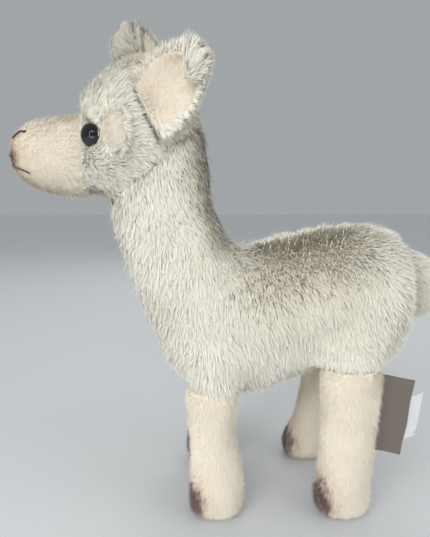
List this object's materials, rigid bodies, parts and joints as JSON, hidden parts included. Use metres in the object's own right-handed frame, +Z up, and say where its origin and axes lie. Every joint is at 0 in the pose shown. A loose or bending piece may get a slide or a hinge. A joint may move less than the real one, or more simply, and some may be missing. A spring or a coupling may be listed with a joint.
{
  "type": "plush alpaca",
  "caption": "Standing stuffed plush alpaca with an upright neck, short-pile muzzle and legs, laid-back folded ears, safety eyes, sewn-in labels and a hanging tail.",
  "frame": {"origin": "on the floor under the middle of the toy: midway between the nose and the back of the tail, and midway between its sides", "axes": "+Z up, the animal faces -X, its left side is towards -Y and its right side towards +Y"},
  "size_m": [0.2679, 0.1, 0.3082],
  "materials": {
    "long_pile_plush": "long ivory-grey plush fur with dark-tipped fibres on the back",
    "short_pile_plush": "short cream plush pile, airbrushed brown at the hooves and nose",
    "black_eye_plastic": "moulded glossy black",
    "washer_plastic": "moulded natural white",
    "embroidery_thread": "dark brown embroidery thread",
    "woven_tape": "taupe damask woven tape",
    "printed_tape": "white satin label tape"
  },
  "bodies": {
    "root": {"torso": "long_pile_plush", "head": "long_pile_plush", "muzzle": "short_pile_plush", "eye_left": "black_eye_plastic", "eye_right": "black_eye_plastic", "eye_washer_left": "washer_plastic", "eye_washer_right": "washer_plastic", "eye_patch_left": "short_pile_plush", "eye_patch_right": "short_pile_plush", "nostril_left": "embroidery_thread", "nostril_right": "embroidery_thread", "mouth": "embroidery_thread", "ear_left": "long_pile_plush", "ear_right": "long_pile_plush", "ear_lining_left": "short_pile_plush", "ear_lining_right": "short_pile_plush", "leg_front_left": "short_pile_plush", "leg_front_right": "short_pile_plush", "leg_rear_left": "short_pile_plush", "leg_rear_right": "short_pile_plush", "tail": "long_pile_plush", "woven_label": "woven_tape", "care_label_long": "printed_tape", "care_label_short": "printed_tape"}
  },
  "joints": []
}
